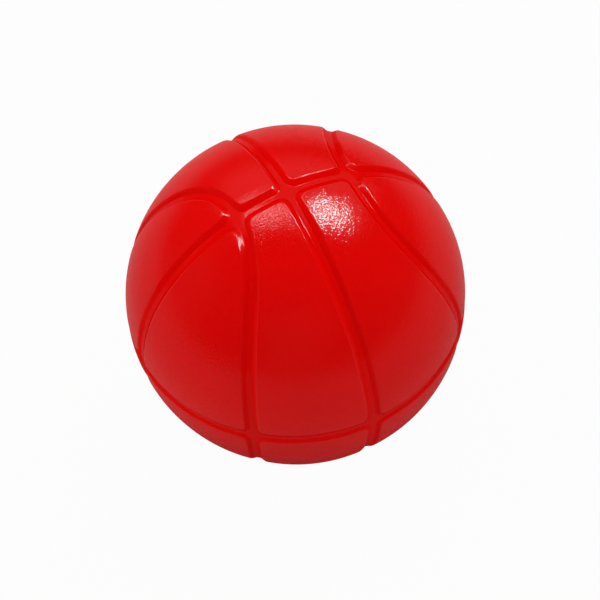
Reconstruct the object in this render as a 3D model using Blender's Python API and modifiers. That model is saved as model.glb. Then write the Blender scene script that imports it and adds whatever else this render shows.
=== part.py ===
"""A children's basketball: sixteen cover panels laid into the pockets of a ribbed carcass,
over a thread winding, a bladder and a needle valve.

Metres, +Z up, origin at the ball's centre. +Z goes through the upper hub, where four crown panels
meet. Seam A lies in the XZ plane, seam B in the YZ plane and seam C in the XY plane. Two pointed
oval seams go round +X and -X. They cross seam A near the hubs and seam C about halfway to seam B.
The ovals aren't quite even: the left one (-X) reaches further at the front (-Y) than at the back,
and the right one starts further from the hubs. The channels are deepest at the hubs.
"""

import math

import bmesh
import bpy
import numpy as np
from mathutils import Vector

MM = 0.001

# Ball
BALL_RADIUS = 89.0 * MM

# Oval seams: along seam A from a hub to where they cross it, and for each quarter how far round seam C
# it reaches from the X axis and how square it is, where 2 is an ellipse
LEFT_NODE = 28.3 * MM
RIGHT_NODE = 34.8 * MM
LEFT_FRONT_REACH = math.radians(49.4)
LEFT_FRONT_POWER = 1.90
LEFT_BACK_REACH = math.radians(37.0)
LEFT_BACK_POWER = 2.30
RIGHT_FRONT_REACH = math.radians(43.3)
RIGHT_FRONT_POWER = 2.50
RIGHT_BACK_REACH = math.radians(50.0)
RIGHT_BACK_POWER = 2.00

# Panels and the channels between them: a flat floor between two sloping walls
FLOOR_WIDTH = 2.9 * MM
HUB_DEPTH = 1.9 * MM             # from a panel's edge down to the floor, near the hubs
SIDE_DEPTH = 1.3 * MM            # the same near seam C
DEEPEST_FROM = 0.9               # heights above seam C where the depth changes, as shares of the radius
DEEPER_FROM = 0.4
HUB_WALL = 3.3 * MM              # the width of seam A's walls, seen from above, between hub and oval
SIDE_WALL = 3.0 * MM             # the same inside the ovals
SEAM_B_WALL = 2.8 * MM
SEAM_C_WALL = 2.4 * MM
OVAL_WALL = 2.7 * MM
TOP_ROUND = 0.15                 # the share of a wall that the round at its top takes, each way
CORNER_AT_FOOT = 5.2 * MM        # a panel's corner, seen from above
CORNER_AT_TOP = 3.4 * MM
TIP_AT_FOOT = 7.5 * MM           # a side panel's corner at the oval's crossing with seam A
TIP_AT_TOP = 5.0 * MM
PANEL_CROWN = 0.25 * MM          # how far a panel's middle stands above its edge
PANEL_SEAT = 0.6 * MM            # how deep a panel's edge sits beside the rib, at a hub

# Layers under the panels, from the outside in
FIT_GAP = 0.3 * MM               # between any two pieces that touch
CARCASS_WALL = 1.4 * MM          # under the panels
WINDING_THICKNESS = 0.6 * MM
BLADDER_WALL = 0.9 * MM

# Valve, turned about its own axis
VALVE_AZIMUTH = math.radians(19)     # from the X axis, on the lower right back side panel
VALVE_DIP = math.radians(31)         # below seam C
VALVE_DIAMETER = 9.4 * MM
VALVE_RECESS = 0.8 * MM              # from the ball's radius down to the valve's flat face
VALVE_EDGE = 0.5 * MM                # chamfer round the flat face
FLANGE_DIAMETER = 22.0 * MM
FLANGE_THICKNESS = 1.6 * MM
VALVE_LENGTH = 17.0 * MM
CORE_DIAMETER = 4.4 * MM
CORE_HEAD_DIAMETER = 6.2 * MM        # the swelling at the inner end that keeps the core in
CORE_HEAD_LENGTH = 3.0 * MM
CORE_RECESS = 0.4 * MM               # from the valve's flat face down to the core
NEEDLE_DIAMETER = 2.2 * MM
NEEDLE_DEPTH = 10.0 * MM

# Where the rings of each kind of panel start, as an azimuth from the X axis and an angle from the hub
CROWN_CENTRE = (math.radians(71), math.radians(48))
SIDE_CENTRE = (math.radians(19), math.radians(59))

# Facets
EDGE_STEP = 22.0 * MM            # longest stretch of a seam between two points
OVAL_EASE = 1.35                 # above 1, an oval seam's points crowd towards its node
SURFACE_STEPS = 3                # rings from the middle of a panel to its shoulder
SHELL_SEGMENTS = 20              # round the inner layers
SHELL_STEPS = 10                 # from pole to pole of the inner layers
VALVE_SEGMENTS = 20
SEAM_POINTS = 400                # on an oval seam, to measure distances from it
SEARCH_STEPS = 40

RED = (0.62, 0.008, 0.005)
COLOURS = {
    "cover": (RED, 0.32),
    "carcass": (RED, 0.36),
    "winding": ((0.72, 0.68, 0.58), 0.9),
    "bladder": ((0.025, 0.024, 0.024), 0.5),
    "valve": ((0.45, 0.012, 0.008), 0.45),
    "core": ((0.03, 0.03, 0.03), 0.55),
}

# What follows from the sizes above
EDGE_RADIUS = BALL_RADIUS - PANEL_CROWN
PANEL_UNDERSIDE = EDGE_RADIUS - HUB_DEPTH - PANEL_SEAT
POCKET_FLOOR = PANEL_UNDERSIDE - FIT_GAP
CARCASS_INSIDE = POCKET_FLOOR - CARCASS_WALL
WINDING_OUTSIDE = CARCASS_INSIDE - FIT_GAP
WINDING_INSIDE = WINDING_OUTSIDE - WINDING_THICKNESS
BLADDER_OUTSIDE = WINDING_INSIDE - FIT_GAP
BLADDER_INSIDE = BLADDER_OUTSIDE - BLADDER_WALL
VALVE_RADIUS = VALVE_DIAMETER / 2
VALVE_HOLE = VALVE_RADIUS + FIT_GAP
FLANGE_RADIUS = FLANGE_DIAMETER / 2
VALVE_FACE = BALL_RADIUS - VALVE_RECESS
WALLS = {
    "crown": np.array([HUB_WALL, SEAM_B_WALL, SEAM_C_WALL, OVAL_WALL]),
    "side": np.array([SIDE_WALL, SEAM_C_WALL, OVAL_WALL]),
}


# Scene

def clear_scene():
    for old in list(bpy.data.objects):
        bpy.data.objects.remove(old, do_unlink=True)


def new_collection(name):
    collection = bpy.data.collections.new(name)
    bpy.context.scene.collection.children.link(collection)
    return collection


def make_material(name):
    colour, roughness = COLOURS[name]
    material = bpy.data.materials.new(name)
    material.use_nodes = True
    shader = material.node_tree.nodes["Principled BSDF"]
    shader.inputs["Base Color"].default_value = (*colour, 1.0)
    shader.inputs["Roughness"].default_value = roughness
    shader.inputs["Metallic"].default_value = 0.0
    return material


def add_object(name, mesh, collection, parent, material=None):
    piece = bpy.data.objects.new(name, mesh)
    collection.objects.link(piece)
    piece.parent = parent
    if material and not mesh.materials:
        mesh.materials.append(material)
    return piece


def add_cutter(name, mesh, collection, parent):
    cutter = add_object(name, mesh, collection, parent)
    cutter.hide_render = True
    cutter.display_type = "WIRE"
    return cutter


def cut(piece, cutter):
    modifier = piece.modifiers.new("cut_" + cutter.name, "BOOLEAN")
    modifier.operation = "DIFFERENCE"
    modifier.solver = "EXACT"
    modifier.object = cutter


# Seams of one octant, where x, y and z are all positive

def unit(points):
    return points / np.linalg.norm(points, axis=-1, keepdims=True)


def on_sphere(azimuth, from_pole):
    return np.stack([np.sin(from_pole) * np.cos(azimuth), np.sin(from_pole) * np.sin(azimuth),
                     np.cos(from_pole) + 0 * azimuth], axis=-1)


def resample(points, distances):
    """Points of a polyline at the given distances along it."""
    steps = np.linalg.norm(np.diff(points, axis=0), axis=1) * BALL_RADIUS
    along = np.concatenate([[0.0], np.cumsum(steps)])
    columns = [np.interp(distances * along[-1], along, points[:, axis]) for axis in range(3)]
    return unit(np.stack(columns, axis=-1))


def seam_lines(hub_to_node, reach, power):
    """Each seam of the octant as a dense polyline of unit vectors."""
    share = np.linspace(0, 1, SEAM_POINTS)
    flat = np.zeros(SEAM_POINTS)
    quarter = math.pi / 2
    node = hub_to_node / BALL_RADIUS
    # The oval is a quarter of a superellipse, in the angle along seam A and the angle away from it
    along = quarter - (quarter - node) * np.cos(quarter * share) ** (2 / power)
    away = reach * np.sin(quarter * share) ** (2 / power)
    oval = np.stack([np.sin(along) * np.cos(away), np.sin(away), np.cos(along) * np.cos(away)], axis=-1)
    oval = resample(oval, share)
    return {
        "hub_to_node": on_sphere(flat, share * node),
        "node_to_side": on_sphere(flat, node + share * (quarter - node)),
        "node_to_middle": oval,
        "side_to_middle": on_sphere(share * reach, flat + quarter),
        "middle_to_front": on_sphere(reach + share * (quarter - reach), flat + quarter),
        "front_to_hub": on_sphere(flat + quarter, quarter * (1 - share)),
    }


def seam_points(line, ease):
    """A seam's points for modelling, closer together beside its two corners."""
    length = np.linalg.norm(np.diff(line, axis=0), axis=1).sum() * BALL_RADIUS
    corner = (FLOOR_WIDTH / 2 + CORNER_AT_FOOT) / length
    inner = max(1, math.ceil((1 - 2 * corner) * length / EDGE_STEP))
    middle = corner + (1 - 2 * corner) * np.linspace(0, 1, inner + 1) ** ease
    return resample(line, np.concatenate([[0, corner / 2], middle, [1 - corner / 2, 1]]))


def panel_seams(lines, kind):
    """The closed outline of a panel's share of the octant, and the point that its rings start at."""
    points = {}
    for name, line in lines.items():
        points[name] = seam_points(line, OVAL_EASE if name == "node_to_middle" else 1)
    if kind == "crown":
        names = ("hub_to_node", "node_to_middle", "middle_to_front", "front_to_hub")
        stretches = [points[name] for name in names]
        centre = CROWN_CENTRE
    else:
        stretches = [points["node_to_side"], points["side_to_middle"], points["node_to_middle"][::-1]]
        centre = SIDE_CENTRE
    return np.concatenate([stretch[:-1] for stretch in stretches]), on_sphere(*np.array(centre))


def seam_distances(points, lines, kind):
    """Distances of points from each seam of the octant, along the ball, positive inside the panel."""
    flat = [np.arcsin(np.clip(points[:, axis], -1, 1)) * BALL_RADIUS for axis in range(3)]
    line = lines["node_to_middle"]
    nearness = np.clip(points @ line.T, -1, 1).max(axis=1)
    line_azimuth = np.interp(-points[:, 2], -line[:, 2], np.arctan2(line[:, 1], line[:, 0]))
    inside_oval = np.arctan2(points[:, 1], points[:, 0]) < line_azimuth
    oval = np.arccos(nearness) * BALL_RADIUS * np.where(inside_oval, 1, -1)
    if kind == "crown":
        return np.stack([flat[1], flat[0], flat[2], -oval], axis=-1)
    return np.stack([flat[1], flat[2], oval], axis=-1)


def along_arc(start, ends, share):
    """Points a share of the way along the great circles from one point to many."""
    angle = np.arccos(np.clip(ends @ start, -1, 1))[:, None]
    share = np.asarray(share).reshape(-1, 1)
    return (np.sin((1 - share) * angle) * start + np.sin(share * angle) * ends) / np.sin(angle)


def corner_radii(points, kind, turn):
    """The corner radius for each point of a panel's outline, a share of the way up its walls."""
    corner = CORNER_AT_FOOT + (CORNER_AT_TOP - CORNER_AT_FOOT) * turn
    tip = TIP_AT_FOOT + (TIP_AT_TOP - TIP_AT_FOOT) * turn
    # A side panel's tip is its highest corner
    share = np.clip(2 * points[:, 2] - 0.8, 0, 1) * (kind == "side")
    return corner + (tip - corner) * share


def wall_outline(lines, kind, turn, gap=0.0):
    """A panel's outline a share of the way up its walls, where 0 is their foot and 1 their top, with
    round corners, found along the arcs from the panel's centre to the seams."""
    seams, centre = panel_seams(lines, kind)
    corner = corner_radii(seams, kind, turn)
    inset = FLOOR_WIDTH / 2 - gap + WALLS[kind] * turn
    low, high = np.zeros(len(seams)), np.ones(len(seams))
    for _ in range(SEARCH_STEPS):
        middle = (low + high) / 2
        distances = seam_distances(along_arc(centre, seams, middle), lines, kind)
        reach = np.maximum(corner[:, None] + inset - distances, 0)
        inside = np.linalg.norm(reach, axis=1) < corner
        low, high = np.where(inside, middle, low), np.where(inside, high, middle)
    return along_arc(centre, seams, low)


def on_wall(points, share):
    """Points put on a channel's wall, a share of the way up from its floor."""
    nearness = np.clip((points[:, 2] - DEEPER_FROM) / (DEEPEST_FROM - DEEPER_FROM), 0, 1)
    depth = SIDE_DEPTH + (HUB_DEPTH - SIDE_DEPTH) * nearness ** 2 * (3 - 2 * nearness)
    return points * (EDGE_RADIUS - depth * (1 - share))[:, None]


# Lofts

def ring_stack(centre, outline, radii):
    """Rings from a centre out to an outline, each at its own radius: the first is the centre."""
    count = len(radii) - 1
    rings = [centre[None, :] * radii[0]]
    for step in range(1, count + 1):
        rings.append(along_arc(centre, outline, np.full(len(outline), step / count)) * radii[step])
    return rings


def strip(inner, outer):
    """Triangles between two rings of as many points, each square cut along its shorter diagonal."""
    count = len(inner)
    for index in range(count):
        following = (index + 1) % count
        near, near_next, far_next, far = inner[index], inner[following], outer[following], outer[index]
        if (near.co - far_next.co).length <= (near_next.co - far.co).length:
            yield near, near_next, far_next
            yield near, far_next, far
        else:
            yield near, near_next, far
            yield near_next, far_next, far


def fan(middle, ring, turned):
    """Triangles from one point to a ring."""
    for index, vert in enumerate(ring):
        following = ring[(index + 1) % len(ring)]
        yield (middle, following, vert) if turned else (middle, vert, following)


def loft(bm, rings):
    """Triangles between rings of points. A ring of one point closes the loft at that end."""
    rings = [[bm.verts.new(point) for point in ring] for ring in rings]
    for inner, outer in zip(rings, rings[1:]):
        if len(inner) == 1:
            triangles = fan(inner[0], outer, True)
        elif len(outer) == 1:
            triangles = fan(outer[0], inner, False)
        else:
            triangles = strip(inner, outer)
        for triangle in triangles:
            bm.faces.new(triangle)


def finish_mesh(bm, name):
    bmesh.ops.remove_doubles(bm, verts=bm.verts, dist=0.01 * MM)
    bmesh.ops.recalc_face_normals(bm, faces=bm.faces)
    mesh = bpy.data.meshes.new(name)
    bm.to_mesh(mesh)
    bm.free()
    mesh.shade_smooth()
    mesh.set_sharp_from_angle(angle=math.radians(40))
    return mesh


def panel_rings(lines, kind):
    """A panel from the middle of its face, over its edge, down its wall and to its underside."""
    centre = panel_seams(lines, kind)[1]
    edge = wall_outline(lines, kind, 1 + TOP_ROUND)
    shares = np.linspace(0, 1, SURFACE_STEPS + 1)
    rings = ring_stack(centre, edge, BALL_RADIUS - PANEL_CROWN * shares ** 2)
    below_top = 1 - TOP_ROUND
    rings.append(on_wall(wall_outline(lines, kind, below_top), below_top))
    foot = wall_outline(lines, kind, 0)
    rings.append(on_wall(foot, 0))
    underside = ring_stack(centre, foot, np.full(SURFACE_STEPS + 1, PANEL_UNDERSIDE))
    return rings + underside[::-1]


def pocket_rings(lines, kind):
    """The carcass over a panel's share of the octant: pocket floor, pocket wall and half ribs."""
    seams, centre = panel_seams(lines, kind)
    wall = wall_outline(lines, kind, 0, FIT_GAP)
    floor = ring_stack(centre, wall, np.full(SURFACE_STEPS + 1, POCKET_FLOOR))
    return floor + [on_wall(wall, 0), on_wall(seams, 0)]


def turned(name, profile, segments):
    """A closed mesh turned about Z from a profile in the XZ plane, top to bottom on its outside."""
    mesh = bpy.data.meshes.new(name)
    count = len(profile)
    edges = [(index, index + 1) for index in range(count - 1)]
    if profile[0][0] > 0 or profile[-1][0] > 0:
        edges.append((count - 1, 0))
    mesh.from_pydata([(x, 0.0, z) for x, z in profile], edges, [])
    spun = bpy.data.objects.new(name, mesh)
    bpy.context.scene.collection.objects.link(spun)
    screw = spun.modifiers.new("turn", "SCREW")
    screw.steps = screw.render_steps = segments
    screw.use_merge_vertices = True
    screw.merge_threshold = 0.01 * MM
    graph = bpy.context.evaluated_depsgraph_get()
    result = bpy.data.meshes.new_from_object(spun.evaluated_get(graph))
    bpy.data.objects.remove(spun, do_unlink=True)
    bm = bmesh.new()
    bm.from_mesh(result)
    return finish_mesh(bm, name)


def height_on_sphere(radius, from_axis):
    return math.sqrt(radius ** 2 - from_axis ** 2)


def arc_profile(radius):
    """Half a circle in the XZ plane, from the rim of the valve's hole, past the edge of its flange
    and down to the lower pole."""
    turns = np.linspace(math.asin(FLANGE_RADIUS / radius), math.pi, SHELL_STEPS + 1)[:-1]
    points = [(radius * math.sin(turn), radius * math.cos(turn)) for turn in turns]
    return [(VALVE_HOLE, height_on_sphere(radius, VALVE_HOLE)), *points, (0.0, -radius)]


def shell_profile(outside, inside):
    return arc_profile(outside) + arc_profile(inside)[::-1]


# Pieces

def valve_turn():
    """The rotation that takes +Z to the valve's axis."""
    axis = Vector((math.cos(VALVE_DIP) * math.cos(VALVE_AZIMUTH),
                   math.cos(VALVE_DIP) * math.sin(VALVE_AZIMUTH), -math.sin(VALVE_DIP)))
    return axis.to_track_quat("Z", "Y").to_euler()


def valve_body_profile():
    bore, head = CORE_DIAMETER / 2 + FIT_GAP, CORE_HEAD_DIAMETER / 2 + FIT_GAP
    seat = BLADDER_INSIDE - FIT_GAP
    neck_end = height_on_sphere(seat, VALVE_RADIUS)
    flange_edge = height_on_sphere(seat, FLANGE_RADIUS)
    bottom = VALVE_FACE - VALVE_LENGTH
    head_seat = bottom + CORE_HEAD_LENGTH + FIT_GAP
    return [
        (VALVE_RADIUS - VALVE_EDGE, VALVE_FACE), (VALVE_RADIUS, VALVE_FACE - VALVE_EDGE),
        (VALVE_RADIUS, neck_end), (FLANGE_RADIUS, flange_edge),
        (FLANGE_RADIUS, flange_edge - FLANGE_THICKNESS / 2),
        (VALVE_RADIUS + FLANGE_THICKNESS, neck_end - 2 * FLANGE_THICKNESS),
        (VALVE_RADIUS, bottom), (head, bottom), (head, head_seat), (bore, head_seat), (bore, VALVE_FACE),
    ]


def valve_core_profile():
    core, head, needle = CORE_DIAMETER / 2, CORE_HEAD_DIAMETER / 2, NEEDLE_DIAMETER / 2
    top = VALVE_FACE - CORE_RECESS
    bottom = VALVE_FACE - VALVE_LENGTH
    return [
        (needle, top), (core, top), (core, bottom + CORE_HEAD_LENGTH), (head, bottom + CORE_HEAD_LENGTH),
        (head, bottom), (0.0, bottom), (0.0, top - NEEDLE_DEPTH), (needle, top - NEEDLE_DEPTH + needle),
    ]


def octants():
    """The eight octants: the signs of x, y and z, their place's name and their seams."""
    nodes = {"left": (-1, LEFT_NODE), "right": (1, RIGHT_NODE)}
    quarters = {("left", "front"): (LEFT_FRONT_REACH, LEFT_FRONT_POWER),
                ("left", "back"): (LEFT_BACK_REACH, LEFT_BACK_POWER),
                ("right", "front"): (RIGHT_FRONT_REACH, RIGHT_FRONT_POWER),
                ("right", "back"): (RIGHT_BACK_REACH, RIGHT_BACK_POWER)}
    for (side, depth), (reach, power) in quarters.items():
        x, node = nodes[side]
        lines = seam_lines(node, reach, power)
        y = 1 if depth == "back" else -1
        for z, level in ((1, "top"), (-1, "bottom")):
            yield (x, y, z), f"{level}_{depth}_{side}", lines


def add_panels(collection, parent, material):
    panels = {}
    for signs, place, lines in octants():
        for kind in ("crown", "side"):
            name = f"{kind}_panel_{place}"
            bm = bmesh.new()
            loft(bm, [ring * signs for ring in panel_rings(lines, kind)])
            panels[name] = add_object(name, finish_mesh(bm, name), collection, parent, material)
    return panels


def carcass_mesh():
    """The outside of the carcass: the pockets and half ribs of all octants, welded on the seams."""
    bm = bmesh.new()
    for signs, _, lines in octants():
        for kind in ("crown", "side"):
            loft(bm, [ring * signs for ring in pocket_rings(lines, kind)])
    return finish_mesh(bm, "carcass")


def main():
    clear_scene()
    parts, cutters = new_collection("basketball"), new_collection("cutters")
    materials = {name: make_material(name) for name in COLOURS}
    ball = bpy.data.objects.new("basketball_centre", None)
    parts.objects.link(ball)
    turn = valve_turn()

    panels = add_panels(parts, ball, materials["cover"])
    carcass = add_object("carcass", carcass_mesh(), parts, ball, materials["carcass"])

    layers = {
        "thread_winding": (shell_profile(WINDING_OUTSIDE, WINDING_INSIDE), SHELL_SEGMENTS, "winding"),
        "bladder": (shell_profile(BLADDER_OUTSIDE, BLADDER_INSIDE), SHELL_SEGMENTS, "bladder"),
        "valve_body": (valve_body_profile(), VALVE_SEGMENTS, "valve"),
        "valve_core": (valve_core_profile(), VALVE_SEGMENTS, "core"),
    }
    for name, (profile, segments, finish) in layers.items():
        layer = add_object(name, turned(name, profile, segments), parts, ball, materials[finish])
        layer.rotation_euler = turn

    cavity_top = [(0.0, 2 * BALL_RADIUS), (VALVE_HOLE, 2 * BALL_RADIUS)]
    cavity = turned("cavity", cavity_top + arc_profile(CARCASS_INSIDE), SHELL_SEGMENTS)
    cavity = add_cutter("cavity", cavity, cutters, ball)
    cavity.rotation_euler = turn
    cut(carcass, cavity)
    cut(panels["side_panel_bottom_back_right"], cavity)


main()
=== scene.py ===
"""The looks of the basketball: moulded cover panels with round shoulders, smooth channels between
them, the valve, the finishes, and a plain white studio."""

import math

import bmesh
import bpy
import numpy as np
from mathutils import Matrix, Vector


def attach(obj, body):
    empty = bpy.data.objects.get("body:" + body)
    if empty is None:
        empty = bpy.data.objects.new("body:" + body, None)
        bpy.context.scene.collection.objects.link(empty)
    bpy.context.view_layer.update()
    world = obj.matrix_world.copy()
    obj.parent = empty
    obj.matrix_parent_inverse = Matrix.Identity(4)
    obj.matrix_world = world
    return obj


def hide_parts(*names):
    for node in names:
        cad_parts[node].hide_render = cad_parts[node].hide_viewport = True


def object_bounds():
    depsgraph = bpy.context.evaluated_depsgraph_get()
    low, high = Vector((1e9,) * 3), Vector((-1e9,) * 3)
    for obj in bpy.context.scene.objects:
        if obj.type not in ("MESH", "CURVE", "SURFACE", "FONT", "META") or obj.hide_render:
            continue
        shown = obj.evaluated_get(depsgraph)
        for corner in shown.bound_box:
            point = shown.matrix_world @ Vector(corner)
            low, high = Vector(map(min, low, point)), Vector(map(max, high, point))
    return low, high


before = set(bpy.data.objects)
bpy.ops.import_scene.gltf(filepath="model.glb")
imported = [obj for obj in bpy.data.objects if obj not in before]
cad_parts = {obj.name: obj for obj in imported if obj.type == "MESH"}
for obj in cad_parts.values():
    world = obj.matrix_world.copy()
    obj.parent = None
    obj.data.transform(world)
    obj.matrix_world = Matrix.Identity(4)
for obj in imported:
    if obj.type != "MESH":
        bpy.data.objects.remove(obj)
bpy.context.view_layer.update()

MM = 0.001

# Ball and seams, as in the part
BALL_RADIUS = 89.0 * MM
# Oval seams: from a hub along seam A to the crossing, and for each quarter how far round seam C it
# reaches from the X axis and how square it is
LEFT_NODE, RIGHT_NODE = 28.3 * MM, 34.8 * MM
LEFT_QUARTERS = {"front": (math.radians(49.4), 1.90), "back": (math.radians(37.0), 2.30)}
RIGHT_QUARTERS = {"front": (math.radians(43.3), 2.50), "back": (math.radians(50.0), 2.00)}

# Channels: a flat floor between two sloping walls, deep and sharp at the hubs, shallow and soft at
# seam C
FLOOR_WIDTH = 2.9 * MM
HUB_DEPTH = 1.9 * MM
SIDE_DEPTH = 1.3 * MM
DEEPER_FROM, DEEPEST_FROM = 0.4, 0.9    # heights, as shares of the radius
WALL_WIDTHS = {"A": 3.3 * MM, "B": 2.8 * MM, "C": 2.4 * MM, "oval": 2.7 * MM}
SIDE_WALL_A = 3.0 * MM           # seam A's walls beyond the oval seams
HUB_ROUND = 0.10                 # share of a wall that the rounds at its foot and top take, each way
SIDE_ROUND = 0.20
CORNER_AT_FOOT = 5.2 * MM
CORNER_AT_TOP = 3.4 * MM
TIP_AT_FOOT = 7.5 * MM           # a side panel's corner at the oval's crossing with seam A
TIP_AT_TOP = 5.0 * MM
PANEL_CROWN = 0.25 * MM          # how far a panel's middle stands above its edges
CROWN_REACH = 14.0 * MM          # how fast a panel's edge rises to its full height
PANEL_SEAT = 0.6 * MM            # how deep a panel's edge sits beside the rib, at a hub
FOOT_GAP = 0.03 * MM             # between a panel's foot and the carcass
EDGE_GRAIN = 0.8                 # the grain at the edge of a panel's face, as a share
EDGE_GRAIN_WIDTH = 1.5 * MM

# Layers under the panels
FIT_GAP = 0.3 * MM
CARCASS_WALL = 1.4 * MM
BLADDER_INSIDE = 82.45 * MM

# Valve
VALVE_AZIMUTH = math.radians(19)
VALVE_DIP = math.radians(31)
VALVE_RADIUS = 4.7 * MM
VALVE_RECESS = 0.8 * MM          # from the ball's radius down to the valve's flat face
VALVE_FIT = 0.05 * MM            # round the valve in its hole
VALVE_ROUND = 0.5 * MM           # at the edge of the flat face
LIP_ROUND = 0.35 * MM            # at the mouth of the valve's bore
GROOVE_DEPTH = 0.18 * MM         # of the ring in the flat face
GROOVE_RADII = (3.15 * MM, 3.3 * MM, 3.55 * MM, 3.7 * MM)
FLANGE_RADIUS = 11.0 * MM
FLANGE_THICKNESS = 1.6 * MM
VALVE_LENGTH = 17.0 * MM
CORE_RADIUS = 2.2 * MM
CORE_FIT = 0.1 * MM
CORE_HEAD_RADIUS = 3.1 * MM      # the swelling at the inner end that keeps the core in
CORE_HEAD_LENGTH = 3.0 * MM
CORE_HEAD_FIT = 0.2 * MM
CORE_RECESS = 0.4 * MM           # from the valve's flat face down to the core
NEEDLE_RADIUS = 1.1 * MM
NEEDLE_DEPTH = 10.0 * MM

# Where each kind of panel's rings start: azimuth from the X axis, angle from the hub
CROWN_CENTRE = (math.radians(75), math.radians(40))
SIDE_CENTRE = (math.radians(19), math.radians(59))

# Facets
CORNER_ZONE = 11.0 * MM
CORNER_POINTS = 14
SEAM_STEP = 2.2 * MM
SURFACE_RINGS = 22
SURFACE_EASE = 1.5               # above 1, the rings of a face crowd towards its edge
WALL_RINGS = 26
WALL_TOP_RINGS = 10              # those of the wall's rounded top, which has the face's finish
FLOOR_RINGS = 3
HIDDEN_SHARES = (0.2, 0.4, 0.6, 0.8, 1.0)    # of a panel's underside and of the pocket under it
FILLET_RINGS = 4
SEAM_POINTS = 800
SEARCH_STEPS = 44
VALVE_SEGMENTS = 72
CAVITY_SEGMENTS = 96
CAVITY_STEPS = 48
MERGE_DISTANCE = 0.0005 * MM
SHARP_ANGLE = math.radians(35)

TOP_RADIUS = BALL_RADIUS - PANEL_CROWN
PANEL_UNDERSIDE = TOP_RADIUS - HUB_DEPTH - PANEL_SEAT
POCKET_FLOOR = PANEL_UNDERSIDE - FIT_GAP
CARCASS_INSIDE = POCKET_FLOOR - CARCASS_WALL
VALVE_HOLE = VALVE_RADIUS + VALVE_FIT
VALVE_FACE = BALL_RADIUS - VALVE_RECESS


# Seams of one octant, where x, y and z are all positive

def unit(points):
    return points / np.linalg.norm(points, axis=-1, keepdims=True)


def on_sphere(azimuth, from_pole):
    return np.stack([np.sin(from_pole) * np.cos(azimuth), np.sin(from_pole) * np.sin(azimuth),
                     np.cos(from_pole) + 0 * azimuth], axis=-1)


def resample(points, shares):
    steps = np.linalg.norm(np.diff(points, axis=0), axis=1)
    along = np.concatenate([[0.0], np.cumsum(steps)])
    columns = [np.interp(shares * along[-1], along, points[:, axis]) for axis in range(3)]
    return unit(np.stack(columns, axis=-1))


def seam_lines(hub_to_node, reach, power):
    share = np.linspace(0, 1, SEAM_POINTS)
    flat = np.zeros(SEAM_POINTS)
    quarter = math.pi / 2
    node = hub_to_node / BALL_RADIUS
    along = quarter - (quarter - node) * np.cos(quarter * share) ** (2 / power)
    away = reach * np.sin(quarter * share) ** (2 / power)
    oval = np.stack([np.sin(along) * np.cos(away), np.sin(away), np.cos(along) * np.cos(away)], axis=-1)
    oval = resample(oval, share)
    return {
        "hub_to_node": on_sphere(flat, share * node),
        "node_to_side": on_sphere(flat, node + share * (quarter - node)),
        "node_to_middle": oval,
        "side_to_middle": on_sphere(share * reach, flat + quarter),
        "middle_to_front": on_sphere(reach + share * (quarter - reach), flat + quarter),
        "front_to_hub": on_sphere(flat + quarter, quarter * (1 - share)),
    }


def seam_points(line):
    """A seam's points, closer together beside its two corners."""
    length = np.linalg.norm(np.diff(line, axis=0), axis=1).sum() * BALL_RADIUS
    corner = min(CORNER_ZONE / length, 0.4)
    inner = max(2, math.ceil((1 - 2 * corner) * length / SEAM_STEP))
    start = np.linspace(0, corner, CORNER_POINTS, endpoint=False)
    middle = np.linspace(corner, 1 - corner, inner + 1)
    return resample(line, np.concatenate([start, middle, 1 - start[::-1]]))


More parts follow.
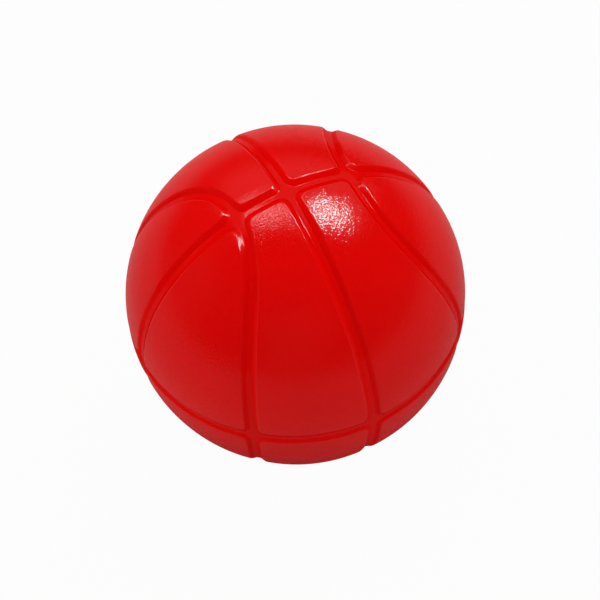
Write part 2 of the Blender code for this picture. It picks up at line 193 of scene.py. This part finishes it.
class Panel:
    """One kind of panel in the octant: its seams, its centre and the distances from its seams."""

    def __init__(self, kind, lines):
        self.lines = lines
        points = {name: seam_points(line) for name, line in self.lines.items()}
        widths = dict(WALL_WIDTHS)
        if kind == "crown":
            names = ("hub_to_node", "node_to_middle", "middle_to_front", "front_to_hub")
            stretches = [points[name] for name in names]
            centre, seams = CROWN_CENTRE, ("A", "B", "C", "oval")
        else:
            stretches = [points["node_to_side"], points["side_to_middle"], points["node_to_middle"][::-1]]
            centre, seams = SIDE_CENTRE, ("A", "C", "oval")
            widths["A"] = SIDE_WALL_A
        self.kind = kind
        self.seams = np.concatenate([stretch[:-1] for stretch in stretches])
        self.centre = on_sphere(*np.array(centre))
        self.walls = np.array([widths[seam] for seam in seams])

    def distances(self, points):
        """Distances from each seam along the ball, positive inside the panel."""
        flat = [np.arcsin(np.clip(points[:, axis], -1, 1)) * BALL_RADIUS for axis in range(3)]
        line = self.lines["node_to_middle"]
        nearness = np.clip(points @ line.T, -1, 1).max(axis=1)
        line_azimuth = np.interp(-points[:, 2], -line[:, 2], np.arctan2(line[:, 1], line[:, 0]))
        inside_oval = np.arctan2(points[:, 1], points[:, 0]) < line_azimuth
        oval = np.arccos(nearness) * BALL_RADIUS * np.where(inside_oval, 1, -1)
        if self.kind == "crown":
            return np.stack([flat[1], flat[0], flat[2], -oval], axis=-1)
        return np.stack([flat[1], flat[2], oval], axis=-1)

    def along(self, ends, share):
        """Points a share of the way along the great circles from the centre."""
        angle = np.arccos(np.clip(ends @ self.centre, -1, 1))[:, None]
        share = np.asarray(share).reshape(-1, 1)
        return (np.sin((1 - share) * angle) * self.centre + np.sin(share * angle) * ends) / np.sin(angle)

    def outline(self, turn, gap=0.0):
        """The outline a share of the way up the walls: 0 is their foot and 1 their top."""
        corner = CORNER_AT_FOOT + (CORNER_AT_TOP - CORNER_AT_FOOT) * turn
        tip = TIP_AT_FOOT + (TIP_AT_TOP - TIP_AT_FOOT) * turn
        if self.kind == "side":
            corner = corner + (tip - corner) * share_of_height(self.seams[:, 2])
        else:
            corner = np.full(len(self.seams), corner)
        inset = FLOOR_WIDTH / 2 + self.walls * turn + gap
        low, high = np.zeros(len(self.seams)), np.ones(len(self.seams))
        for _ in range(SEARCH_STEPS):
            middle = (low + high) / 2
            reach = np.maximum(corner[:, None] + inset - self.distances(self.along(self.seams, middle)), 0)
            inside = np.linalg.norm(reach, axis=1) < corner
            low, high = np.where(inside, middle, low), np.where(inside, high, middle)
        return self.along(self.seams, low)

    def edge_distance(self, points):
        """About how far points are inside the top of the walls, rounded off at the corners."""
        inset = FLOOR_WIDTH / 2 + self.walls * (1 + SIDE_ROUND)
        inside = np.maximum(self.distances(points) - inset, 0.01 * MM)
        return (inside ** -4.0).sum(axis=1) ** -0.25


def share_of_height(height):
    """From 0 where the channels start to get deeper to 1 where they are deepest."""
    return np.clip((height - DEEPER_FROM) / (DEEPEST_FROM - DEEPER_FROM), 0, 1)


def near_hub(points):
    """From 0 beside seam C to 1 at the hubs, smoothly."""
    share = share_of_height(np.abs(points[:, 2]) / np.linalg.norm(points, axis=1))
    return share ** 2 * (3 - 2 * share)


def channel_depth(points):
    return SIDE_DEPTH + (HUB_DEPTH - SIDE_DEPTH) * near_hub(points)


def on_wall(points, turn):
    """Points raised to a channel's wall, a share of the way up it, with its foot and top rounded."""
    rounding = SIDE_ROUND + (HUB_ROUND - SIDE_ROUND) * near_hub(points)
    foot = np.clip(turn + rounding, 0, 2 * rounding) ** 2 / (4 * rounding)
    top = np.clip(turn - 1 + rounding, 0, 2 * rounding) ** 2 / (4 * rounding)
    height = foot - top + np.clip(turn - rounding, 0, None) - np.clip(turn - 1 - rounding, 0, None)
    return points * (TOP_RADIUS - channel_depth(points) * (1 - height))[:, None]


def panel_rings(panel):
    """A panel from the middle of its face, over its edge and down to its underside, as rings of
    points and the grain at each point: 1 on the face, less at its edge, and 0 at a wall's foot."""
    edge = panel.outline(1 + SIDE_ROUND)
    rings, grain = [panel.centre[None, :] * BALL_RADIUS], [np.ones(1)]
    for step in range(1, SURFACE_RINGS + 1):
        share = 1 - (1 - step / SURFACE_RINGS) ** SURFACE_EASE
        points = panel.along(edge, np.full(len(edge), share))
        drop = np.exp(-panel.edge_distance(points) / CROWN_REACH)
        if step == SURFACE_RINGS:
            drop = np.ones(len(edge))
        rings.append(points * (BALL_RADIUS - PANEL_CROWN * drop)[:, None])
        inside = np.clip(panel.edge_distance(points) / EDGE_GRAIN_WIDTH, 0, 1)
        grain.append(EDGE_GRAIN + (1 - EDGE_GRAIN) * inside)
    for step in range(1, WALL_RINGS + 1):
        turn = (1 + SIDE_ROUND) * (1 - step / WALL_RINGS)
        rings.append(on_wall(panel.outline(turn), turn))
        grain.append(np.full(len(edge), EDGE_GRAIN * min(turn, 1.0)))
    foot = panel.outline(0.0)
    for share in HIDDEN_SHARES[::-1]:
        rings.append(panel.along(foot, np.full(len(foot), share)) * PANEL_UNDERSIDE)
        grain.append(np.zeros(len(foot)))
    rings.append(panel.centre[None, :] * PANEL_UNDERSIDE)
    grain.append(np.zeros(1))
    return rings, grain


def pocket_rings(panel):
    """The carcass round a panel: pocket floor, pocket wall, the fillet at a wall's foot, and half of
    each channel's floor."""
    foot = panel.outline(0.0, -FOOT_GAP)
    rings = [panel.centre[None, :] * POCKET_FLOOR]
    for share in HIDDEN_SHARES:
        rings.append(panel.along(foot, np.full(len(foot), share)) * POCKET_FLOOR)
    for step in range(FILLET_RINGS + 1):
        turn = -SIDE_ROUND * step / FILLET_RINGS
        rings.append(on_wall(panel.outline(turn, -FOOT_GAP), turn))
    last = unit(rings[-1])
    for step in range(1, FLOOR_RINGS + 1):
        share = step / FLOOR_RINGS
        rings.append(on_wall(unit(last * (1 - share) + panel.seams * share), -1.0))
    return rings


# Meshes

def loft(bm, rings, first_wall=None):
    """Faces between rings of points. A ring of one point closes the loft. The faces from the first
    wall's ring on have the second material. Returns the rings' verts."""
    rings = [[bm.verts.new(point) for point in ring] for ring in rings]
    for step, (inner, outer) in enumerate(zip(rings, rings[1:])):
        count = max(len(inner), len(outer))
        for index in range(count):
            following = (index + 1) % count
            if len(inner) == 1:
                face = bm.faces.new((inner[0], outer[index], outer[following]))
            elif len(outer) == 1:
                face = bm.faces.new((outer[0], inner[following], inner[index]))
            else:
                face = bm.faces.new((inner[index], outer[index], outer[following], inner[following]))
            if first_wall is not None and step >= first_wall:
                face.material_index = 1
    return rings


def finish_mesh(bm, name):
    bmesh.ops.remove_doubles(bm, verts=bm.verts, dist=MERGE_DISTANCE)
    bmesh.ops.recalc_face_normals(bm, faces=bm.faces)
    mesh = bpy.data.meshes.new(name)
    bm.to_mesh(mesh)
    bm.free()
    mesh.shade_smooth()
    mesh.set_sharp_from_angle(angle=SHARP_ANGLE)
    return mesh


def turned(name, profile, segments=VALVE_SEGMENTS):
    """A closed mesh turned about Z from a profile of (radius, height) points."""
    bm = bmesh.new()
    closed = profile[0][0] > 0
    rings = []
    for radius, height in profile:
        if radius == 0:
            rings.append([(0.0, 0.0, height)])
        else:
            turns = [2 * math.pi * step / segments for step in range(segments)]
            rings.append([(radius * math.cos(turn), radius * math.sin(turn), height) for turn in turns])
    verts = loft(bm, rings)
    if closed:
        first, last = verts[0], verts[-1]
        for index in range(segments):
            following = (index + 1) % segments
            bm.faces.new((last[index], first[index], first[following], last[following]))
    return finish_mesh(bm, name)


def add_piece(name, mesh, slot, *nodes):
    piece = bpy.data.objects.new(name, mesh)
    bpy.context.scene.collection.objects.link(piece)
    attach(piece, "root")
    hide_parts(*nodes)


def cut(mesh, cutter_mesh, turn):
    """A mesh with a turned cutter taken out of it."""
    body = bpy.data.objects.new("to_cut", mesh)
    cutter = bpy.data.objects.new("cutter", cutter_mesh)
    cutter.rotation_euler = turn
    for item in (body, cutter):
        bpy.context.scene.collection.objects.link(item)
    modifier = body.modifiers.new("cut", "BOOLEAN")
    modifier.operation = "DIFFERENCE"
    modifier.solver = "EXACT"
    modifier.object = cutter
    graph = bpy.context.evaluated_depsgraph_get()
    result = bpy.data.meshes.new_from_object(body.evaluated_get(graph))
    for item in (body, cutter):
        bpy.data.objects.remove(item, do_unlink=True)
    result.shade_smooth()
    result.set_sharp_from_angle(angle=SHARP_ANGLE)
    return result


def height_on_sphere(radius, from_axis):
    return math.sqrt(radius ** 2 - from_axis ** 2)


def sphere_profile(radius, from_axis, steps):
    """The profile of a sphere from a circle about its upper pole down to its lower pole."""
    start = math.asin(from_axis / radius)
    turns = [start + (math.pi - start) * step / steps for step in range(steps)]
    return [(radius * math.sin(turn), radius * math.cos(turn)) for turn in turns] + [(0.0, -radius)]


# Materials

def new_material(name, base, roughness, specular):
    material = bpy.data.materials.new(name)
    material.use_nodes = True
    tree = material.node_tree
    shader = tree.nodes["Principled BSDF"]
    shader.inputs["Base Color"].default_value = (*base, 1.0)
    shader.inputs["Roughness"].default_value = roughness
    shader.inputs["Specular IOR Level"].default_value = specular
    return material, tree, shader


def add_node(tree, kind, **values):
    made = tree.nodes.new(kind)
    for key, value in values.items():
        if hasattr(made, key):
            setattr(made, key, value)
        else:
            made.inputs[key].default_value = value
    return made


def object_position(tree):
    return tree.nodes.new("ShaderNodeTexCoord").outputs["Object"]


def noise(tree, position, scale, detail=3.0, roughness=0.5):
    made = add_node(tree, "ShaderNodeTexNoise", Scale=scale, Detail=detail, Roughness=roughness)
    tree.links.new(position, made.inputs["Vector"])
    return made.outputs["Fac"]


def between(tree, value, low, high, from_low=0.0, from_high=1.0):
    made = add_node(tree, "ShaderNodeMapRange")
    made.inputs["From Min"].default_value = from_low
    made.inputs["From Max"].default_value = from_high
    made.inputs["To Min"].default_value = low
    made.inputs["To Max"].default_value = high
    tree.links.new(value, made.inputs["Value"])
    return made.outputs["Result"]


def math_node(tree, operation, first, second):
    made = add_node(tree, "ShaderNodeMath", operation=operation)
    for socket, value in zip(made.inputs, (first, second)):
        if isinstance(value, (int, float)):
            socket.default_value = value
        else:
            tree.links.new(value, socket)
    return made.outputs["Value"]


def mix_colour(tree, share, first, second):
    made = add_node(tree, "ShaderNodeMix", data_type="RGBA")
    tree.links.new(share, made.inputs["Factor"])
    colours = [socket for socket in made.inputs if socket.type == "RGBA"]
    for socket, value in zip(colours, (first, second)):
        if isinstance(value, tuple):
            socket.default_value = (*value, 1.0)
        else:
            tree.links.new(value, socket)
    return [socket for socket in made.outputs if socket.type == "RGBA"][0]


def bump(tree, shader, height, distance):
    made = add_node(tree, "ShaderNodeBump", Strength=1.0, Distance=distance)
    tree.links.new(height, made.inputs["Height"])
    for socket in ("Normal", "Coat Normal"):
        tree.links.new(made.outputs["Normal"], shader.inputs[socket])


def gloss(shader, weight, roughness):
    shader.inputs["Coat Weight"].default_value = weight
    shader.inputs["Coat Roughness"].default_value = roughness


RED = (0.64, 0.0008, 0.0003)
DEEP_RED = (0.58, 0.0006, 0.0002)
PEBBLES = 1300.0                 # to the metre
FLOW = 90.0                      # the slower waves under the pebbles, to the metre
FLOW_SHARE = 0.4
GRAIN_HEIGHT = 0.13 * MM
SMOOTH_HEIGHT = 0.06 * MM
# The walls' and floors' lower coat is painted shade: it darkens the channels, which are the same vinyl as
# the faces
FACE_GLOSS, WALL_GLOSS, FLOOR_GLOSS = 0.22, 0.06, 0.11


def cover_material():
    """Glossy red vinyl with a fine leathery grain on the panels' faces."""
    material, tree, shader = new_material("red_vinyl_grained", RED, 0.3, 0.0)
    gloss(shader, FACE_GLOSS, 0.08)
    position = object_position(tree)
    grain = add_node(tree, "ShaderNodeAttribute", attribute_name="grain").outputs["Fac"]
    pebble = noise(tree, position, PEBBLES, 0.0)
    flow = noise(tree, position, FLOW, 3.0)
    height = math_node(tree, "MULTIPLY", pebble, grain)
    height = math_node(tree, "ADD", height, math_node(tree, "MULTIPLY", flow, FLOW_SHARE))
    bump(tree, shader, height, GRAIN_HEIGHT)
    rough = between(tree, noise(tree, position, 60.0, 4.0), 0.18, 0.26, 0.3, 0.7)
    tree.links.new(rough, shader.inputs["Roughness"])
    tint = mix_colour(tree, noise(tree, position, 35.0, 3.0), RED, DEEP_RED)
    tree.links.new(tint, shader.inputs["Base Color"])
    return material


def channel_material(name, weight):
    """The same red, smooth, for the walls and floors of the channels, with less coat than the faces as
    painted shade in the channels.
    """
    material, tree, shader = new_material(name, RED, 0.28, 0.0)
    gloss(shader, weight, 0.09)
    position = object_position(tree)
    height = math_node(tree, "ADD", noise(tree, position, 260.0, 4.0), noise(tree, position, 60.0, 2.0))
    bump(tree, shader, height, SMOOTH_HEIGHT)
    rough = between(tree, noise(tree, position, 120.0, 3.0), 0.16, 0.24, 0.3, 0.7)
    tree.links.new(rough, shader.inputs["Roughness"])
    tint = mix_colour(tree, noise(tree, position, 50.0, 3.0), RED, DEEP_RED)
    tree.links.new(tint, shader.inputs["Base Color"])
    return material


def rubber_material(name, colour, worn, roughness):
    """Moulded rubber with a fine texture and dusty patches."""
    material, tree, shader = new_material(name, colour, roughness, 0.4)
    position = object_position(tree)
    bump(tree, shader, noise(tree, position, 1500.0, 3.0), 0.08 * MM)
    speckle = noise(tree, position, 300.0, 3.0)
    rough = between(tree, speckle, roughness - 0.08, roughness + 0.1, 0.3, 0.7)
    tree.links.new(rough, shader.inputs["Roughness"])
    patches = between(tree, noise(tree, position, 180.0, 4.0), 0.0, 1.0, 0.45, 0.75)
    tree.links.new(mix_colour(tree, patches, colour, worn), shader.inputs["Base Color"])
    return material


def winding_material():
    """Pale nylon thread laid in crossing bands, sealed with latex."""
    material, tree, shader = new_material("wound_thread", (0.70, 0.66, 0.55), 0.7, 0.3)
    position = object_position(tree)
    bands = []
    for turn in ((0.9, 0.3, 0.2), (0.2, 1.1, 0.5), (-0.6, 0.4, 1.2)):
        mapping = add_node(tree, "ShaderNodeMapping", Rotation=turn)
        tree.links.new(position, mapping.inputs["Vector"])
        wave = add_node(tree, "ShaderNodeTexWave", Scale=500.0, Distortion=1.5, Detail=2.0)
        tree.links.new(mapping.outputs["Vector"], wave.inputs["Vector"])
        bands.append(wave.outputs["Fac"])
    threads = math_node(tree, "MAXIMUM", math_node(tree, "MAXIMUM", bands[0], bands[1]), bands[2])
    bump(tree, shader, threads, 0.2 * MM)
    tint = mix_colour(tree, threads, (0.42, 0.38, 0.30), (0.76, 0.72, 0.62))
    tree.links.new(tint, shader.inputs["Base Color"])
    return material


# Pieces

def octants():
    """The eight octants: the signs of x, y and z, their place's name and their seams."""
    sides = {"left": (-1, LEFT_NODE, LEFT_QUARTERS), "right": (1, RIGHT_NODE, RIGHT_QUARTERS)}
    for side, (x, node, quarters) in sides.items():
        for depth, y in (("front", -1), ("back", 1)):
            lines = seam_lines(node, *quarters[depth])
            for level, z in (("top", 1), ("bottom", -1)):
                yield (x, y, z), f"{level}_{depth}_{side}", lines


valve_axis = Vector((math.cos(VALVE_DIP) * math.cos(VALVE_AZIMUTH),
                     math.cos(VALVE_DIP) * math.sin(VALVE_AZIMUTH), -math.sin(VALVE_DIP)))
valve_turn = valve_axis.to_track_quat("Z", "Y").to_euler()

cover = cover_material()
# Walls and channel floors: less coat than the faces, as painted shade in the channels
wall = channel_material("red_vinyl_wall_painted_shade", WALL_GLOSS)
channel = channel_material("red_vinyl_smooth_painted_shade", FLOOR_GLOSS)
# The cutter for the valve's hole, with a bevelled mouth
hole_mouth = VALVE_HOLE + 1.6 * MM
hole_start, hole_end = BALL_RADIUS * 1.1, BALL_RADIUS * 0.8
hole_profile = [(0.0, hole_start), (hole_mouth, hole_start), (hole_mouth, BALL_RADIUS - 0.05 * MM),
                (VALVE_HOLE + 0.9 * MM, BALL_RADIUS - 0.5 * MM),
                (VALVE_HOLE, BALL_RADIUS - 0.95 * MM), (VALVE_HOLE, hole_end), (0.0, hole_end)]
carcass_bm = bmesh.new()
for signs, place, lines in octants():
    for kind in ("crown", "side"):
        panel = Panel(kind, lines)
        rings, grain = panel_rings(panel)
        bm = bmesh.new()
        layer = bm.verts.layers.float.new("grain")
        made = loft(bm, [ring * signs for ring in rings], SURFACE_RINGS + WALL_TOP_RINGS)
        for verts, values in zip(made, grain):
            for vert, value in zip(verts, values):
                vert[layer] = value
        name = f"{kind}_panel_{place}"
        mesh = finish_mesh(bm, "moulded_" + name)
        mesh.materials.append(cover)
        mesh.materials.append(wall)
        if name == "side_panel_bottom_back_right":
            mesh = cut(mesh, turned("hole", hole_profile), valve_turn)
        add_piece("moulded_" + name, mesh, "cover", name)
        loft(carcass_bm, [ring * signs for ring in pocket_rings(panel)])

carcass = finish_mesh(carcass_bm, "carcass")
cavity = [(0.0, 2 * BALL_RADIUS), (VALVE_HOLE, 2 * BALL_RADIUS),
          *sphere_profile(CARCASS_INSIDE, VALVE_HOLE, CAVITY_STEPS)]
carcass.materials.append(channel)
carcass = cut(carcass, turned("cavity", cavity, CAVITY_SEGMENTS), valve_turn)
add_piece("ribbed_carcass", carcass, "carcass", "carcass")


def quarter_round(radius, height, rounding, turns):
    """Points on a quarter circle about a place in a profile."""
    return [(radius + rounding * math.sin(turn), height + abs(rounding) * math.cos(turn)) for turn in turns]


def valve_body_profile():
    bore, head = CORE_RADIUS + CORE_FIT, CORE_HEAD_RADIUS + CORE_HEAD_FIT
    seat = BLADDER_INSIDE - FIT_GAP
    neck_end = height_on_sphere(seat, VALVE_RADIUS)
    flange_edge = height_on_sphere(seat, FLANGE_RADIUS)
    bottom = VALVE_FACE - VALVE_LENGTH
    head_seat = bottom + CORE_HEAD_LENGTH + CORE_HEAD_FIT
    rim = quarter_round(VALVE_RADIUS - VALVE_ROUND, VALVE_FACE - VALVE_ROUND, VALVE_ROUND,
                        np.linspace(0, math.pi / 2, 6))
    lip = quarter_round(bore + LIP_ROUND, VALVE_FACE - LIP_ROUND, -LIP_ROUND,
                        np.linspace(math.pi / 2, 0, 5))
    groove_floor = VALVE_FACE - GROOVE_DEPTH
    groove = list(zip(GROOVE_RADII, (VALVE_FACE, groove_floor, groove_floor, VALVE_FACE)))
    return [*groove, *rim, (VALVE_RADIUS, neck_end), (FLANGE_RADIUS, flange_edge),
            (FLANGE_RADIUS, flange_edge - FLANGE_THICKNESS / 2),
            (VALVE_RADIUS + FLANGE_THICKNESS, neck_end - 2 * FLANGE_THICKNESS), (VALVE_RADIUS, bottom),
            (head, bottom), (head, head_seat), (bore, head_seat), *lip]


def valve_core_profile():
    top, bottom = VALVE_FACE - CORE_RECESS, VALVE_FACE - VALVE_LENGTH
    return [(0.0, top - NEEDLE_DEPTH), (NEEDLE_RADIUS * 0.6, top - NEEDLE_DEPTH + 0.5 * MM),
            (NEEDLE_RADIUS, top - NEEDLE_DEPTH + 1.6 * MM), (NEEDLE_RADIUS, top - 0.4 * MM),
            (NEEDLE_RADIUS + 0.15 * MM, top - 0.12 * MM), (NEEDLE_RADIUS + 0.4 * MM, top),
            (CORE_RADIUS - 0.25 * MM, top), (CORE_RADIUS, top - 0.25 * MM),
            (CORE_RADIUS, bottom + CORE_HEAD_LENGTH), (CORE_HEAD_RADIUS, bottom + CORE_HEAD_LENGTH),
            (CORE_HEAD_RADIUS, bottom + 0.3 * MM), (CORE_HEAD_RADIUS - 0.3 * MM, bottom), (0.0, bottom)]


valve_rubber = rubber_material("valve_rubber", (0.40, 0.010, 0.008), (0.46, 0.05, 0.04), 0.45)
core_rubber = rubber_material("core_rubber", (0.022, 0.021, 0.021), (0.09, 0.085, 0.08), 0.55)
for name, profile, material, slot in (("valve_body", valve_body_profile(), valve_rubber, "valve"),
                                      ("valve_core", valve_core_profile(), core_rubber, "core")):
    piece = turned("turned_" + name, profile)
    piece.transform(valve_turn.to_matrix().to_4x4())
    piece.materials.append(material)
    add_piece("turned_" + name, piece, slot, name)

bladder_rubber = rubber_material("butyl_rubber", (0.02, 0.019, 0.019), (0.06, 0.058, 0.055), 0.5)
for name, material in (("thread_winding", winding_material()), ("bladder", bladder_rubber)):
    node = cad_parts[name]
    for index in range(len(node.data.materials)):
        node.data.materials[index] = material


# Camera: fitted to the seams in the photograph
AZIMUTH, ELEVATION, ROLL = math.radians(-22.905), math.radians(54.856), math.radians(-4.505)
DISTANCE = 11.566 * BALL_RADIUS
RIM_PIXELS = 170.3
IMAGE_SIZE = 600
BALL_AT = (295.5, 294.5)

back = Vector((math.sin(AZIMUTH) * math.cos(ELEVATION), -math.cos(AZIMUTH) * math.cos(ELEVATION),
               math.sin(ELEVATION)))
level = Vector((math.cos(AZIMUTH), math.sin(AZIMUTH), 0.0))
upright = back.cross(level)
right = level * math.cos(ROLL) + upright * math.sin(ROLL)
up = upright * math.cos(ROLL) - level * math.sin(ROLL)
focal_pixels = RIM_PIXELS * math.sqrt((DISTANCE / BALL_RADIUS) ** 2 - 1)
camera_data = bpy.data.cameras.new("camera")
camera_data.sensor_width = 36.0
camera_data.lens = focal_pixels / IMAGE_SIZE * camera_data.sensor_width
camera_data.shift_x = (IMAGE_SIZE / 2 - BALL_AT[0]) / IMAGE_SIZE
camera_data.shift_y = (BALL_AT[1] - IMAGE_SIZE / 2) / IMAGE_SIZE
camera_data.clip_start, camera_data.clip_end = 0.01, 20.0
camera = bpy.data.objects.new("camera", camera_data)
bpy.context.scene.collection.objects.link(camera)
camera.matrix_world = Matrix((
    (right.x, up.x, back.x, back.x * DISTANCE), (right.y, up.y, back.y, back.y * DISTANCE),
    (right.z, up.z, back.z, back.z * DISTANCE), (0, 0, 0, 1)))
bpy.context.scene.camera = camera


# Light: soft lamps all round, which the gloss doesn't show, and three lamps that only the gloss shows.
# Their directions are along the camera's right, up and back
LAMP_DISTANCE = 1.5
SOFT_SIZE = 1.1
SOFT_LAMPS = {                   # direction, level
    "key": ((0.30, 0.83, 0.45), 0.46),
    "top": ((0.0, 0.90, 0.30), 0.49),
    "left": ((-0.95, 0.12, 0.26), 0.57),
    "right": ((0.97, -0.08, 0.24), 0.40),
    "front": ((0.0, -0.50, 0.86), 0.48),
}
GLOSS_LAMPS = {                  # direction, width, height, level
    "glint": ((0.31, 0.79, 0.53), 0.50, 0.22, 2.15),
    "long_glint": ((-0.29, 0.81, 0.51), 0.7, 0.32, 0.53),
    "halo": ((0.0, 0.95, 0.30), 2.4, 1.6, 0.54),
}
WORLD_LEVEL = 0.17
BACKGROUND_WHITE = 0.97          # what the camera sees of the world and the floor


def add_area(name, direction, width, height, level):
    """A softbox that faces the ball, with its width along the camera's right. Its level is the share
    of a white surface's brightness that it gives, where the surface faces it."""
    lamp = bpy.data.lights.new(name, "AREA")
    lamp.shape, lamp.size, lamp.size_y = "RECTANGLE", width, height
    lamp.energy = level * (math.pi * LAMP_DISTANCE) ** 2
    holder = bpy.data.objects.new(name, lamp)
    bpy.context.scene.collection.objects.link(holder)
    x, y, z = direction
    towards = (right * x + up * y + back * z).normalized()
    across = (right - towards * right.dot(towards)).normalized()
    over = towards.cross(across)
    place = towards * LAMP_DISTANCE
    holder.matrix_world = Matrix((
        (across.x, over.x, towards.x, place.x), (across.y, over.y, towards.y, place.y),
        (across.z, over.z, towards.z, place.z), (0, 0, 0, 1)))
    return holder


for name, (direction, level) in SOFT_LAMPS.items():
    add_area(name, direction, SOFT_SIZE, SOFT_SIZE, level).visible_glossy = False
for name, (direction, width, height, level) in GLOSS_LAMPS.items():
    add_area(name, direction, width, height, level).visible_diffuse = False

world = bpy.data.worlds.new("studio")
bpy.context.scene.world = world
world.use_nodes = True
world_tree = world.node_tree
background = world_tree.nodes["Background"]
background.inputs["Color"].default_value = (1, 1, 1, 1)
seen = world_tree.nodes.new("ShaderNodeLightPath").outputs["Is Camera Ray"]
strength = between(world_tree, seen, WORLD_LEVEL, BACKGROUND_WHITE)
world_tree.links.new(strength, background.inputs["Strength"])


# Floor: white to the camera and pale in reflections, but for a painted shade under the ball that only
# reflections show, with a faint share that takes the ball's real shadow
FLOOR_HALF = 4.0
FLOOR_GREY = 0.32
MIRRORED_WHITE = 0.75
# Painted shade in reflections: full within the first distance of the ball's foot, gone beyond the second
PAINTED_SHADE_TO, CLEAR_FROM = 0.8 * BALL_RADIUS, 1.8 * BALL_RADIUS


def floor_material():
    material = bpy.data.materials.new("white_floor")
    material.use_nodes = True
    tree = material.node_tree
    shader = tree.nodes["Principled BSDF"]
    shader.inputs["Base Color"].default_value = (FLOOR_GREY, FLOOR_GREY, FLOOR_GREY, 1)
    shader.inputs["Roughness"].default_value = 0.9
    shader.inputs["Specular IOR Level"].default_value = 0.0
    path = tree.nodes.new("ShaderNodeLightPath")
    mirrored = math_node(tree, "MAXIMUM", path.outputs["Is Glossy Ray"],
                         path.outputs["Is Transmission Ray"])
    away = add_node(tree, "ShaderNodeVectorMath", operation="LENGTH")
    tree.links.new(object_position(tree), away.inputs[0])
    # Painted shade: glossy rays see less of the white the nearer they land to the ball
    clear_of_painted_shade = between(tree, away.outputs["Value"], 0.0, MIRRORED_WHITE, PAINTED_SHADE_TO, CLEAR_FROM)
    reflected = math_node(tree, "MULTIPLY", mirrored, clear_of_painted_shade)
    seen = math_node(tree, "MAXIMUM", path.outputs["Is Camera Ray"], reflected)
    white = add_node(tree, "ShaderNodeEmission", Strength=1.0)
    white.inputs["Color"].default_value = (1, 1, 1, 1)
    mix = tree.nodes.new("ShaderNodeMixShader")
    tree.links.new(math_node(tree, "MULTIPLY", seen, BACKGROUND_WHITE), mix.inputs["Fac"])
    tree.links.new(shader.outputs["BSDF"], mix.inputs[1])
    tree.links.new(white.outputs["Emission"], mix.inputs[2])
    tree.links.new(mix.outputs["Shader"], tree.nodes["Material Output"].inputs["Surface"])
    return material


floor_mesh = bpy.data.meshes.new("floor")
corners = [(x * FLOOR_HALF, y * FLOOR_HALF, 0) for x, y in ((-1, -1), (1, -1), (1, 1), (-1, 1))]
floor_mesh.from_pydata(corners, [], [(0, 1, 2, 3)])
floor_mesh.materials.append(floor_material())
floor = bpy.data.objects.new("floor", floor_mesh)
floor.location.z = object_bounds()[0][2]
bpy.context.scene.collection.objects.link(floor)

bpy.context.scene.view_settings.view_transform = "Standard"
